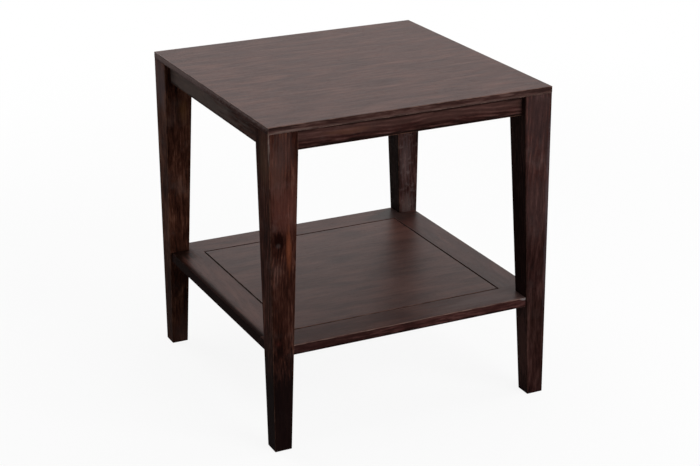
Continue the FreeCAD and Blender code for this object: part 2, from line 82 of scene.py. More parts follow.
def times(tree, product, *factors):
    for factor in factors:
        product = calc(tree, "MULTIPLY", product, factor)
    return product


def vectorCalc(tree, operation, a, b=(0, 0, 0), scale=None):
    sockets = {0: a, 1: b} if scale is None else {0: a, "Scale": scale}
    node = addNode(tree, "ShaderNodeVectorMath", sockets, operation=operation)
    return node.outputs["Value" if operation in ("LENGTH", "DOT_PRODUCT") else "Vector"]


def combine(tree, x, y, z):
    return addNode(tree, "ShaderNodeCombineXYZ", {0: x, 1: y, 2: z}).outputs[0]


def separate(tree, vector):
    return addNode(tree, "ShaderNodeSeparateXYZ", {0: vector}).outputs


def ease(tree, value, low, high, start=0.0, end=1.0):
    # smooth step from start to end while value goes from low to high
    sockets = {"Value": value, "From Min": low, "From Max": high, "To Min": start, "To Max": end}
    kind = "ShaderNodeMapRange"
    return addNode(tree, kind, sockets, interpolation_type="SMOOTHSTEP").outputs["Result"]


def blendColor(tree, share, a, b):
    sockets = {0: share, 6: a, 7: b}
    return addNode(tree, "ShaderNodeMix", sockets, data_type="RGBA").outputs[2]


def noise(tree, vector, scale, detail, roughness):
    sockets = {"Vector": vector, "Scale": scale, "Detail": detail, "Roughness": roughness}
    return addNode(tree, "ShaderNodeTexNoise", sockets).outputs["Fac"]


def bumps(tree, height, strength, depth, **under):
    sockets = {"Height": height, "Strength": strength, "Distance": depth, **under}
    return addNode(tree, "ShaderNodeBump", sockets).outputs["Normal"]


def newMaterial(name):
    material = bpy.data.materials.new(name)
    material.use_nodes = True
    material.node_tree.nodes.clear()
    return material, material.node_tree


def endMaterial(tree, sockets):
    shader = addNode(tree, "ShaderNodeBsdfPrincipled", sockets)
    addNode(tree, "ShaderNodeOutputMaterial", {"Surface": shader.outputs[0]})


def newTree(name, inputs):
    tree = bpy.data.node_groups.new(name, "GeometryNodeTree")
    for label, kind, value in inputs:
        socket = tree.interface.new_socket(label, in_out="INPUT", socket_type=kind)
        if value is not None:
            socket.default_value = value
    tree.interface.new_socket("Geometry", in_out="OUTPUT", socket_type="NodeSocketGeometry")
    return tree, tree.nodes.new("NodeGroupInput").outputs


def endTree(tree, geometry, material):
    real = addNode(tree, "GeometryNodeRealizeInstances", {"Geometry": geometry}).outputs[0]
    painted = addNode(tree, "GeometryNodeSetMaterial", {"Geometry": real, "Material": material})
    addNode(tree, "NodeGroupOutput", {"Geometry": painted.outputs[0]})


def makeMemberTree():
    # A board with worn round edges. Its own box sets where the mesh is, and the edge box which
    # edges are rounded, so planks of one glued top have none along their seams.
    # A leg also tapers towards its outer corner from taperTop down.
    vector, number, whole = "NodeSocketVector", "NodeSocketFloat", "NodeSocketInt"
    tree, value = newTree("woodMember", [
        ("low", vector, None), ("high", vector, None),
        ("edgeLow", vector, None), ("edgeHigh", vector, None),
        ("rowsX", whole, 8), ("rowsY", whole, 8), ("rowsZ", whole, 8),
        ("edgeRadius", number, 0.001), ("wearWidth", number, 0.005),
        ("unevenness", number, 0.0001), ("unevenScale", number, 18.0), ("seed", number, 0.0),
        ("outerCorner", vector, None), ("footShare", number, 1.0), ("taperTop", number, 1.0),
        ("wood", "NodeSocketMaterial", None),
    ])

    def counted(rows):
        return calc(tree, "MULTIPLY_ADD", rows, 2.0, 1.0)

    cube = addNode(tree, "GeometryNodeMeshCube", {
        "Size": (2, 2, 2), "Vertices X": counted(value["rowsX"]),
        "Vertices Y": counted(value["rowsY"]), "Vertices Z": counted(value["rowsZ"]),
    })
    spot = addNode(tree, "GeometryNodeInputPosition").outputs[0]
    side = vectorCalc(tree, "SIGN", spot)
    rows = combine(tree, value["rowsX"], value["rowsY"], value["rowsZ"])
    fromEdge = vectorCalc(tree, "MULTIPLY", vectorCalc(tree, "SUBTRACT", (1, 1, 1),
                                                       vectorCalc(tree, "ABSOLUTE", spot)), rows)

    def middleAndHalf(low, high):
        return (vectorCalc(tree, "SCALE", vectorCalc(tree, "ADD", low, high), scale=0.5),
                vectorCalc(tree, "SCALE", vectorCalc(tree, "SUBTRACT", high, low), scale=0.5))

    centre, half = middleAndHalf(value["low"], value["high"])

    # Two rows lie in the rounding, two in the edge strip, and the others are spread evenly.
    def share(start, count):
        moved = vectorCalc(tree, "SUBTRACT", fromEdge, (start, start, start))
        parts = vectorCalc(tree, "DIVIDE", moved, count)
        return vectorCalc(tree, "MINIMUM", vectorCalc(tree, "MAXIMUM", parts), (1, 1, 1))

    strip = calc(tree, "ADD", value["edgeRadius"], value["wearWidth"])
    rest = vectorCalc(tree, "SUBTRACT", half, combine(tree, strip, strip, strip))
    inRound = vectorCalc(tree, "SCALE", share(0, (2, 2, 2)), scale=value["edgeRadius"])
    inStrip = vectorCalc(tree, "SCALE", share(2, (2, 2, 2)), scale=value["wearWidth"])
    inRest = vectorCalc(tree, "MULTIPLY", share(4, vectorCalc(tree, "SUBTRACT", rows, (4, 4, 4))), rest)
    depth = vectorCalc(tree, "ADD", vectorCalc(tree, "ADD", inRound, inStrip), inRest)
    spread = vectorCalc(tree, "MULTIPLY", side, vectorCalc(tree, "SUBTRACT", half, depth))
    placed = vectorCalc(tree, "ADD", centre, spread)

    # rounding: what lies outside the inner box is pulled back to one radius from it
    edgeCentre, edgeHalf = middleAndHalf(value["edgeLow"], value["edgeHigh"])
    away = vectorCalc(tree, "SUBTRACT", placed, edgeCentre)
    radius = combine(tree, value["edgeRadius"], value["edgeRadius"], value["edgeRadius"])
    far = vectorCalc(tree, "ABSOLUTE", away)
    core = vectorCalc(tree, "MINIMUM", far, vectorCalc(tree, "SUBTRACT", edgeHalf, radius))
    beyond = vectorCalc(tree, "SUBTRACT", far, core)
    length = calc(tree, "MAXIMUM", vectorCalc(tree, "LENGTH", beyond), 0.000001)
    pull = calc(tree, "MINIMUM", calc(tree, "DIVIDE", value["edgeRadius"], length), 1.0)
    rounded = vectorCalc(tree, "ADD", core, vectorCalc(tree, "SCALE", beyond, scale=pull))

    # hand planed unevenness, only inwards and only on the outside
    swell = addNode(tree, "ShaderNodeTexNoise", {
        "W": value["seed"], "Vector": placed, "Scale": value["unevenScale"], "Detail": 2.0,
    }, noise_dimensions="4D").outputs["Fac"]
    isOutside = calc(tree, "GREATER_THAN", length, times(tree, value["edgeRadius"], 0.98))
    dip = times(tree, swell, value["unevenness"], isOutside)
    outward = vectorCalc(tree, "NORMALIZE", beyond)
    lowered = vectorCalc(tree, "SUBTRACT", rounded, vectorCalc(tree, "SCALE", outward, scale=dip))
    awaySide = vectorCalc(tree, "SIGN", away)
    settled = vectorCalc(tree, "ADD", edgeCentre, vectorCalc(tree, "MULTIPLY", awaySide, lowered))

    # strip along the edges, for wear and a painted highlight: the middle one of the three distances to
    # the faces
    gaps = separate(tree, vectorCalc(tree, "SUBTRACT", edgeHalf, rounded))
    lesser = calc(tree, "MINIMUM", gaps[0], gaps[1])
    greater = calc(tree, "MAXIMUM", gaps[0], gaps[1])
    middle = calc(tree, "MAXIMUM", lesser, calc(tree, "MINIMUM", greater, gaps[2]))
    edgeStrip = ease(tree, middle, 0.0, value["wearWidth"], 1.0, 0.0)

    # taper
    offset = vectorCalc(tree, "SUBTRACT", settled, value["outerCorner"])
    parts = separate(tree, offset)
    level = separate(tree, settled)[2]
    climb = calc(tree, "MINIMUM", calc(tree, "DIVIDE", level, value["taperTop"]), 1.0)
    gained = times(tree, climb, calc(tree, "SUBTRACT", 1.0, value["footShare"]))
    scale = calc(tree, "ADD", value["footShare"], gained)
    narrowed = combine(tree, times(tree, parts[0], scale), times(tree, parts[1], scale), parts[2])
    final = vectorCalc(tree, "ADD", narrowed, value["outerCorner"])

    # both fields read the unit cube, so the edge strip is stored before the points move
    mesh = addNode(tree, "GeometryNodeStoreNamedAttribute", {
        "Geometry": cube.outputs["Mesh"], "Name": "edgeStrip", "Value": edgeStrip,
    }, data_type="FLOAT", domain="POINT").outputs[0]
    mesh = addNode(tree, "GeometryNodeSetPosition", {"Geometry": mesh, "Position": final}).outputs[0]
    mesh = addNode(tree, "GeometryNodeSetShadeSmooth", {"Geometry": mesh}).outputs[0]
    endTree(tree, mesh, value["wood"])
    return tree


memberTree = makeMemberTree()


def setInputs(modifier, values):
    for item in modifier.node_group.interface.items_tree:
        if item.item_type == "SOCKET" and item.in_out == "INPUT" and item.name in values:
            modifier[item.identifier] = values[item.name]


def newObject(name, mesh=None):
    piece = bpy.data.objects.new(name, mesh or bpy.data.meshes.new(name))
    scene.collection.objects.link(piece)
    return piece


def nodesNamed(start):
    return sorted(node for node in frame["nodes"] if node.startswith(start))


def boxHelper(low, high):
    # plain box that a Boolean modifier takes away or adds
    shape = bmesh.new()
    bmesh.ops.create_cube(shape, size=1.0)
    low, high = Vector(low), Vector(high)
    for vert in shape.verts:
        vert.co = (low + high) / 2 + vert.co * (high - low)
    helper = newObject("helper")
    shape.to_mesh(helper.data)
    shape.free()
    return helper


def slopedHelper(halfSide, level, depth):
    # square funnel about the table's middle, that planes a slope on the edge of an opening
    # halfSide wide: it opens towards +Z where depth is positive and towards -Z where it isn't
    past = math.copysign(0.001, depth)        # a little beyond the face that it cuts
    lowest, highest = sorted((level - depth, level + past))
    helper = boxHelper((-1, -1, lowest), (1, 1, highest))
    for vert in helper.data.vertices:
        spread = halfSide + abs(vert.co.z - (level - depth))
        vert.co.x = math.copysign(spread, vert.co.x)
        vert.co.y = math.copysign(spread, vert.co.y)
    return helper


def freeze(piece):
    # the evaluated mesh takes the place of the modifiers
    graph = bpy.context.evaluated_depsgraph_get()
    mesh = bpy.data.meshes.new_from_object(piece.evaluated_get(graph), depsgraph=graph)
    piece.modifiers.clear()
    piece.data = mesh
    mesh.name = piece.name


members = {
    "rowLength": 0.016,                       # from one row of faces to the next
    "fewestRows": 6,                          # from an edge to the middle
    "edgeRows": 4,                            # of those, in the rounding and in the edge strip
    "flatFrom": 0.6,                          # Z of its normal, from which on a face counts as flat
    "sharpAngle": 40,                         # degrees
}


def makeMember(name, low, high, finishes, edgeBox, joinery=(), rowLength=members["rowLength"],
               **values):
    # finishes: one material, or one for the flat faces and one for the upright ones
    piece = newObject(name)
    modifier = piece.modifiers.new("member", "NODES")
    modifier.node_group = memberTree
    rows = [max(members["fewestRows"], members["edgeRows"] + math.ceil(side / 2 / rowLength))
            for side in high - low]
    setInputs(modifier, {
        "low": low, "high": high, "edgeLow": edgeBox[0], "edgeHigh": edgeBox[1],
        "rowsX": rows[0], "rowsY": rows[1], "rowsZ": rows[2], "wood": finishes[0], **values,
    })
    for operation, helper in joinery:
        joint = piece.modifiers.new("joint", "BOOLEAN")
        joint.operation = operation
        joint.object = helper
        joint.solver = "EXACT"
    freeze(piece)
    for _, helper in joinery:
        bpy.data.objects.remove(helper)
    piece.data.materials.clear()              # a cut leaves its faces without one
    for material in finishes:
        piece.data.materials.append(material)
    for face in piece.data.polygons:
        isFlat = abs(face.normal.z) >= members["flatFrom"]
        face.material_index = 0 if isFlat else len(finishes) - 1
    piece.data.set_sharp_from_angle(angle=math.radians(members["sharpAngle"]))
    weighted = piece.modifiers.new("flatFaces", "WEIGHTED_NORMAL")
    weighted.keep_sharp = True
    weighted.weight = 100
    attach(piece, "root")
    return piece


stainedWood = {
    "dark": (0.0055, 0.0016, 0.0013),         # pores and late wood
    "middle": (0.034, 0.0118, 0.0088),
    "light": (0.105, 0.046, 0.035),           # where less stain took
    "toneEnds": (0.08, 0.98),                 # below the first all is dark, above the second light
    "shade": 1.0,                             # multiplies every tone
    "tint": (1.0, 1.0, 1.0),
    "lift": 0.0,                              # moves every tone towards light
    "roughness": 0.48,
    "roughSwing": 0.22,                       # with the fibres
    "roughPores": 0.18,
    "specular": 0.0025,
    "seedShift": 1.7,                         # metres along the grain from one seed to the next
    "bendScale": 5.0,
    "bendStretch": 2.2,
    "waviness": 0.014,                        # how far the fibres swing, in metres
    "ringsPerMetre": 190.0,
    "ringContrast": 0.14,
    "ringTaper": 0.035,                       # of the trunk
    "ringSharpness": 1.6,
    "fibreContrast": 0.50,
    "fibreScale": 26.0,
    "fibreStretch": 16.0,                     # every stretch: length over width
    "fleckContrast": 0.34,
    "fleckScale": 80.0,
    "fleckStretch": 3.2,
    "fleckRange": (0.30, 0.72),               # every range: of the noise, from none to full
    "patchContrast": 0.60,
    "patchScale": 12.0,
    "patchStretch": 3.5,
    "poreDepth": 0.22,
    "poreScale": 95.0,
    "poreStretch": 22.0,
    "poreRange": (0.60, 0.70),
    "haze": 0.10,
    "hazeScale": 22.0,
    "hazeRange": (0.50, 0.78),
    "grey": (0.090, 0.066, 0.062, 1),         # haze of old finish
    "insideShade": 1.0,                       # below 1 paints shade on the faces that look inwards along X
    "insideShadeRange": (0.3, 0.8),
    "insideShadeColor": (0.0015, 0.0022, 0.0018, 1),
    "stainAndLightRange": (0.3, 1.0),                 # of its reach, from full to none
    "stainAndLightRagged": 0.6,                       # how far flecks fray each patch, of stain and of painted light alike, as a share of its reach
    "footShadeRagged": 0.05,                       # the same for the painted shade on the foot, in metres
    # colour of the painted shade towards the floor
    "footShadeColor": (0.0042, 0.0022, 0.0022, 1),
    "edgeDark": 0.45,                         # stain that stayed beside the edges
    "edgeRange": (0.15, 0.70),                # of the edge strip, from its inner side to the edge
    # the lighter line along the edges: partly real wear, partly a painted highlight on the rounded
    # edges
    "wearAndHighlightRange": (0.72, 0.95),
    "wearAndHighlightAmount": 0.6,
    "edgeSpotScale": 45.0,
    "edgeSpotRange": (0.40, 0.62),
    "wearAndHighlightColor": (0.17, 0.085, 0.058, 1),
    "bump": 0.3,
    "bumpDepth": 0.0003,
    "planing": 0.0,                           # long hollows that a plane left
    "planingDepth": 0.0012,
    "planingScale": 9.0,
    "planingStretch": 11.0,
}

grainTurns = {"X": (0, 0, 0), "Y": (0, 0, -math.pi / 2), "Z": (0, math.pi / 2, 0)}


def makeWood(name, along, centre, seed, pith=(0.035, 0.05), **changes):
    # along: the member's length. pith: how far the heart of the tree lies from the member's middle.
    # patches: of real stain and of painted light and shade, each (place, reach, colour, strength)
    look = {**stainedWood, **changes}
    knot, shadedFoot = look.get("knot"), look.get("shadedFoot")

    def tinted(tone):
        return tuple(part * look["shade"] * tint for part, tint in zip(look[tone], look["tint"])) + (1,)

    material, tree = newMaterial(name)
    place = addNode(tree, "ShaderNodeTexCoord").outputs["Object"]
    moved = addNode(tree, "ShaderNodeMapping", {
        "Vector": place, "Location": tuple(-side for side in centre)}).outputs[0]
    turned = addNode(tree, "ShaderNodeMapping", {
        "Vector": moved, "Rotation": grainTurns[along],
        "Location": (seed * look["seedShift"], pith[0], pith[1])}).outputs[0]

    def stretched(layer):
        scale = look[f"{layer}Stretch"]
        sockets = {"Vector": grain, "Scale": (1.0, scale, scale)}
        return addNode(tree, "ShaderNodeMapping", sockets).outputs[0]

    def alongGrain(layer, detail, roughness):
        return noise(tree, stretched(layer), look[f"{layer}Scale"], detail, roughness)

    # slow swing of the fibres
    grain = turned
    bend = addNode(tree, "ShaderNodeTexNoise", {
        "Vector": stretched("bend"), "Scale": look["bendScale"], "Detail": 2.0})
    swing = vectorCalc(tree, "SUBTRACT", bend.outputs["Color"], (0.5, 0.5, 0.5))
    swing = vectorCalc(tree, "MULTIPLY", swing, (0.0, look["waviness"], look["waviness"]))
    grain = vectorCalc(tree, "ADD", turned, swing)
    if knot:
        # the fibres swing round the knot
        toKnot = vectorCalc(tree, "SUBTRACT", place, knot["at"])
        knotDistance = vectorCalc(tree, "LENGTH", vectorCalc(tree, "MULTIPLY", toKnot, knot["squeeze"]))
        nearKnot = ease(tree, knotDistance, 0.0, knot["reach"] * 1.5, 1.0, 0.0)
        pushed = vectorCalc(tree, "SCALE", (0.0, knot["swing"], knot["swing"]), scale=nearKnot)
        grain = vectorCalc(tree, "ADD", grain, pushed)

    parts = separate(tree, grain)
    across = calc(tree, "SQRT", calc(tree, "ADD", calc(tree, "POWER", parts[1], 2.0),
                                     calc(tree, "POWER", parts[2], 2.0)))
    cone = calc(tree, "MULTIPLY_ADD", parts[0], look["ringTaper"], across)
    ring = calc(tree, "SINE", times(tree, cone, look["ringsPerMetre"] * 2 * math.pi))
    ring = calc(tree, "POWER", calc(tree, "MULTIPLY_ADD", ring, 0.5, 0.5), look["ringSharpness"])
    fibre = alongGrain("fibre", 4.0, 0.62)
    fleck = ease(tree, alongGrain("fleck", 3.0, 0.6), *look["fleckRange"])
    pore = ease(tree, alongGrain("pore", 1.0, 0.4), *look["poreRange"])
    patch = alongGrain("patch", 2.5, 0.5)

    def part(value, amount):
        return times(tree, calc(tree, "SUBTRACT", value, 0.5), amount)

    def ragged(value, amount):
        return calc(tree, "MULTIPLY_ADD", calc(tree, "SUBTRACT", fleck, 0.5), amount, value)

    tone = calc(tree, "ADD", part(ring, look["ringContrast"]), part(fibre, look["fibreContrast"] * 1.6))
    tone = calc(tree, "ADD", tone, part(fleck, look["fleckContrast"]))
    tone = calc(tree, "ADD", tone, part(patch, look["patchContrast"] * 2))
    tone = calc(tree, "ADD", tone, 0.5 + look["lift"])
    tone = calc(tree, "SUBTRACT", tone, times(tree, pore, look["poreDepth"]), clamp=True)

    ramp = addNode(tree, "ShaderNodeValToRGB", {"Fac": tone})
    stops = ramp.color_ramp.elements
    stops[0].color, stops[1].color = tinted("dark"), tinted("light")
    stops[0].position, stops[1].position = look["toneEnds"]
    stops.new(0.5).color = tinted("middle")
    color = ramp.outputs["Color"]

    # haze, painted shade on the inner faces, patches of stain and of painted light and shade, knot, and
    # painted shade on the foot
    cloudy = noise(tree, vectorCalc(tree, "ADD", moved, (seed, 3.1, 7.7)), look["hazeScale"], 4.0, 0.65)
    hazy = ease(tree, cloudy, *look["hazeRange"], 0.0, look["haze"] * 2.2)
    color = blendColor(tree, hazy, color, look["grey"])
    # painted shade on the faces that look inwards along X
    if look["insideShade"] < 1.0:
        inwards = (-1 if centre[0] > 0 else 1, 0, 0)
        facing = addNode(tree, "ShaderNodeNewGeometry").outputs["True Normal"]
        shadedInside = ease(tree, vectorCalc(tree, "DOT_PRODUCT", facing, inwards),
                        *look["insideShadeRange"], 0.0, 1.0 - look["insideShade"])
        color = blendColor(tree, shadedInside, color, look["insideShadeColor"])
    # patches of real stain and of painted light and shade
    for at, reach, patchColor, strength in look.get("stainsAndPaintedLight", ()):
        offset = vectorCalc(tree, "DIVIDE", vectorCalc(tree, "SUBTRACT", place, at), reach)
        distance = ragged(vectorCalc(tree, "LENGTH", offset), look["stainAndLightRagged"])
        cover = ease(tree, distance, *look["stainAndLightRange"], strength, 0.0)
        color = blendColor(tree, cover, color, patchColor)
    if knot:
        heart = ease(tree, ragged(knotDistance, knot["reach"] * 0.3), knot["reach"] * 0.2,
                     knot["reach"] * 0.55, 0.92, 0.0)
        color = blendColor(tree, heart, color, tinted("dark"))
        toEye = vectorCalc(tree, "LENGTH", vectorCalc(tree, "SUBTRACT", place, knot["eye"]))
        eye = ease(tree, toEye, knot["reach"] * 0.03, knot["reach"] * 0.24, 0.2, 0.0)
        color = blendColor(tree, eye, color, look["grey"])
    # painted shade: the leg grows darker towards the floor
    if shadedFoot:
        height = ragged(separate(tree, place)[2], look["footShadeRagged"])
        fade = ease(tree, height, shadedFoot["from"], shadedFoot["to"], shadedFoot["depth"], 0.0)
        color = blendColor(tree, fade, color, look["footShadeColor"])

    # dark stain beside the edges, and a lighter line along them: partly real wear, partly a painted
    # highlight on the rounded edges
    edgeStrip = addNode(tree, "ShaderNodeAttribute", attribute_name="edgeStrip").outputs["Fac"]
    chance = ease(tree, noise(tree, place, look["edgeSpotScale"], 3.0, 0.6), *look["edgeSpotRange"])
    stained = times(tree, ease(tree, edgeStrip, *look["edgeRange"]),
                    calc(tree, "MULTIPLY_ADD", chance, -0.6, 1.0), look["edgeDark"])
    color = blendColor(tree, stained, color, tinted("dark"))
    wearAndHighlight = times(tree, ease(tree, edgeStrip, *look["wearAndHighlightRange"]),
                 calc(tree, "MULTIPLY_ADD", chance, 0.7, 0.3), look["wearAndHighlightAmount"])
    color = blendColor(tree, wearAndHighlight, color, look["wearAndHighlightColor"])

    gloss = calc(tree, "MULTIPLY_ADD", part(fibre, 1.0), look["roughSwing"], look["roughness"])
    gloss = calc(tree, "MULTIPLY_ADD", pore, look["roughPores"], gloss, clamp=True)
    relief = calc(tree, "MULTIPLY_ADD", pore, -0.8, times(tree, fibre, 0.6))
    normal = bumps(tree, relief, look["bump"], look["bumpDepth"])
    if look["planing"] > 0:
        hollows = alongGrain("planing", 2.0, 0.55)
        normal = bumps(tree, hollows, look["planing"], look["planingDepth"], Normal=normal)
    endMaterial(tree, {"Base Color": color, "Roughness": gloss, "Normal": normal,
                       "Specular IOR Level": look["specular"]})
    return material


edgeFinish = {
    "specular": 0.0025, "roughness": 0.55, "lift": 0.0, "planing": 0.0, "fleckScale": 34.0,
    "fleckStretch": 8.0, "fleckContrast": 0.34, "wearAndHighlightColor": (0.28, 0.175, 0.145, 1),
}


def makeBoardWoods(node, along, centre, look, **heart):
    # a polished board and its duller edges, with the grain running on
    edgeLook = {**look, **edgeFinish, "shade": look.get("edgeShade", 1.0),
                "tint": look.get("edgeTint", (1, 1, 1)), "wearAndHighlightAmount": look.get("edgeWearAndHighlight", 0.6),
                "edgeDark": look.get("edgeDarkSide", 0.4),
                "stainsAndPaintedLight": look.get("edgeStainsAndPaintedLight", look.get("stainsAndPaintedLight", ()))}
    return [makeWood(f"{node}_wood", along, centre, **heart, **look),
            makeWood(f"{node}_edge_wood", along, centre, **heart, **edgeLook)]


def heartOf(number, grain):
    # each board comes from another stretch of the tree
    across, up = grain["pith"]
    return {"seed": grain["seed"] + number * grain["seedStep"],
            "pith": (across - grain["pithStep"] * number, up)}


hiddenEnd = Vector((0, 0, 0.01))              # takes the rounding off an edge under the top


legs = {
    "edgeRadius": 0.0018,
    "wearWidth": 0.005,
    "unevenness": 0.00025,
    "footShare": 33 / 56,                     # width of the foot over that of the head
    "taperTop": 0.559,                        # height at which the taper starts
}

legLook = {"fleckScale": 40.0, "fleckStretch": 8.0, "fibreStretch": 20.0, "fleckContrast": 0.32}

legLooks = {                                  # what differs from that on one leg
    "leg_front_left": {
        "seed": 1.3, "pith": (0.045, 0.03), "tint": (1, 0.94, 0.86), "shade": 0.87, "wearAndHighlightAmount": 0.4,
        # painted shade, darker towards the floor
        "shadedFoot": {"from": 0.120, "to": 0.235, "depth": 0.95},
        "knot": {"at": (-0.2640, -0.280, 0.404), "eye": (-0.2655, -0.280, 0.395),
                 "squeeze": (1.0, 1.0, 0.7), "reach": 0.028, "swing": 0.004},
        "stainsAndPaintedLight": [
            ((-0.246, -0.280, 0.382), (0.0065, 0.02, 0.055), (0.14, 0.040, 0.018, 1), 0.55),
            ((-0.263, -0.280, 0.530), (0.022, 0.02, 0.080), (0.12, 0.062, 0.050, 1), 0.2),
            ((-0.269, -0.280, 0.211), (0.007, 0.02, 0.006), (0.06, 0.013, 0.011, 1), 0.35),
            ((-0.2795, -0.2795, 0.575), (0.0025, 0.0025, 0.040), (0.26, 0.20, 0.18, 1), 0.7),
            ((-0.252, -0.280, 0.568), (0.026, 0.003, 0.050), (0.040, 0.027, 0.026, 1), 0.25),
            ((-0.252, -0.280, 0.462), (0.040, 0.003, 0.060), (0.130, 0.046, 0.036, 1), 0.22),
            # painted shade, darker towards the floor, on the front face
            ((-0.256, -0.280, 0.275), (0.045, 0.003, 0.160), (0.008, 0.003, 0.002, 1), 0.42),
            ((-0.280, -0.258, 0.550), (0.003, 0.026, 0.060), (0.105, 0.062, 0.038, 1), 0.25),
            # painted shade, darker towards the floor, on the left face
            ((-0.280, -0.262, 0.160), (0.003, 0.030, 0.120), (0.008, 0.004, 0.003, 1), 0.45),
        ],
    },
    "leg_front_right": {
        "seed": 4.1, "pith": (-0.04, 0.035), "tint": (1, 1.06, 1.2), "shade": 0.8, "insideShade": 0.5,
        "patchContrast": 0.30, "fibreContrast": 0.38, "wearAndHighlightAmount": 0.12,
        # painted shade, darker towards the floor
        "shadedFoot": {"from": 0.30, "to": 0.52, "depth": 0.42},
        "stainsAndPaintedLight": [
            # painted sheen along the right edge
            ((0.279, -0.280, 0.350), (0.007, 0.01, 0.26), (0.085, 0.062, 0.068, 1), 0.5),
            ((0.254, -0.280, 0.560), (0.04, 0.01, 0.12), (0.040, 0.028, 0.028, 1), 0.3),
            ((0.256, -0.280, 0.385), (0.04, 0.01, 0.08), (0.085, 0.053, 0.051, 1), 0.2),
            # painted shade, darker towards the floor
            ((0.256, -0.280, 0.145), (0.04, 0.01, 0.08), (0.010, 0.004, 0.002, 1), 0.4),
            # painted light on the inner face below the shelf, lifting the painted inside shade there
            ((0.243, -0.265, 0.100), (0.010, 0.03, 0.12), (0.080, 0.037, 0.031, 1), 0.9),
        ],
    },
    "leg_back_left": {
        "seed": 7.7, "pith": (0.05, -0.02), "tint": (1, 1.02, 0.85), "shade": 1.15,
        # painted shade, darker towards the floor
        "shadedFoot": {"from": 0.05, "to": 0.25, "depth": 0.3},
        "stainsAndPaintedLight": [
            ((-0.244, 0.230, 0.499), (0.012, 0.02, 0.030), (0.10, 0.045, 0.018, 1), 0.45),
            ((-0.280, 0.252, 0.560), (0.004, 0.05, 0.08), (0.085, 0.062, 0.064, 1), 0.45),
            # painted shade under the shelf
            ((-0.252, 0.235, 0.150), (0.04, 0.03, 0.075), (0.005, 0.0025, 0.0015, 1), 0.55),
            ((-0.256, 0.240, 0.020), (0.03, 0.03, 0.050), (0.085, 0.048, 0.042, 1), 0.3),
            # painted shade, darker towards the floor, on the left face
            ((-0.280, 0.258, 0.120), (0.003, 0.05, 0.170), (0.006, 0.003, 0.002, 1), 0.6),
        ],
    },
    "leg_back_right": {
        "seed": 9.2, "pith": (-0.03, -0.045), "haze": 0.30, "hazeScale": 75.0, "tint": (1, 1.16, 1.35),
        "shade": 0.66, "insideShade": 0.35,
        "stainsAndPaintedLight": [
            ((0.258, 0.239, 0.215), (0.020, 0.02, 0.04), (0.13, 0.092, 0.086, 1), 0.3),
            ((0.250, 0.230, 0.320), (0.018, 0.02, 0.08), (0.12, 0.086, 0.086, 1), 0.22),
        ],
    },
}


def makeLegs():
    for node, look in legLooks.items():
        low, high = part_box(node)
        middle = (low + high) / 2
        corner = Vector((low.x if middle.x < 0 else high.x, low.y if middle.y < 0 else high.y, 0))
        wood = makeWood(f"{node}_wood", "Z", middle, **legLook, **look)
        leg = makeMember(f"{node}_piece", low, high, [wood], edgeBox=(low, high + hiddenEnd),
                         outerCorner=corner, seed=look["seed"], **legs)
        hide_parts(node)
    print("legs: 4 tapered, worn along their edges")


aprons = {
    "edgeRadius": 0.0010,
    "wearWidth": 0.004,
    "unevenness": 0.0002,
}

apronLooks = {
    "apron_front": {
        "seed": 2.2, "pith": (0.02, 0.06), "waviness": 0.03, "tint": (1, 1.07, 1.22), "shade": 0.78,
        "patchContrast": 0.34, "ringContrast": 0.22, "ringsPerMetre": 120.0, "fibreContrast": 0.34,
        "fibreStretch": 24.0, "fleckContrast": 0.30, "fleckScale": 24.0, "fleckStretch": 10.0,
        "stainsAndPaintedLight": [
            ((0, -0.268, 0.585), (3.0, 0.02, 0.014), (0.078, 0.041, 0.034, 1), 0.26),
            ((-0.130, -0.268, 0.580), (0.050, 0.02, 0.007), (0.12, 0.050, 0.028, 1), 0.22),
            ((0, -0.268, 0.559), (3.0, 0.02, 0.009), (0.006, 0.003, 0.0025, 1), 0.92),
            # painted shadow under the top's overhang
            ((0, -0.268, 0.594), (3.0, 0.02, 0.0055), (0.012, 0.006, 0.005, 1), 0.8),
        ],
    },
    "apron_back": {"seed": 3.4, "pith": (0.02, 0.06)},
    "apron_left": {
        "seed": 5.1, "pith": (0.05, 0.03), "shade": 0.98, "tint": (1, 1.2, 1.25),
        "fleckScale": 30.0, "fleckStretch": 8.0, "fleckContrast": 0.24,
        "stainsAndPaintedLight": [
            ((-0.268, 0.14, 0.578), (0.02, 0.34, 0.05), (0.092, 0.073, 0.065, 1), 0.65),
            ((-0.268, 0, 0.557), (0.02, 3.0, 0.008), (0.008, 0.006, 0.005, 1), 0.7),
        ],
    },
    "apron_right": {"seed": 6.6, "pith": (0.05, 0.03)},
}


def makeAprons():
    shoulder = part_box("leg_front_left")[1].x  # inner face of the left legs
    for node, look in apronLooks.items():
        low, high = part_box(node)
        axis = 0 if high.x - low.x > high.y - low.y else 1
        edgeLow, edgeHigh = low.copy(), high + hiddenEnd
        low[axis], high[axis] = shoulder, -shoulder
        wood = makeWood(f"{node}_wood", "XY"[axis], (low + high) / 2, **look)
        apron = makeMember(f"{node}_piece", low, high, [wood], edgeBox=(edgeLow, edgeHigh),
                           seed=look["seed"], **aprons)
        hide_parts(node)
    print("aprons: 4 between the legs")


top = {
    "edgeRadius": 0.0012,
    "wearWidth": 0.004,
    "unevenness": 0.00004,
}

boardLook = {                                 # of the top and the shelf
    "fibreStretch": 30.0, "fleckScale": 9.0, "fleckStretch": 13.0, "patchContrast": 0.30,
    "poreDepth": 0.10, "haze": 0.0, "edgeDark": 0.2,
}

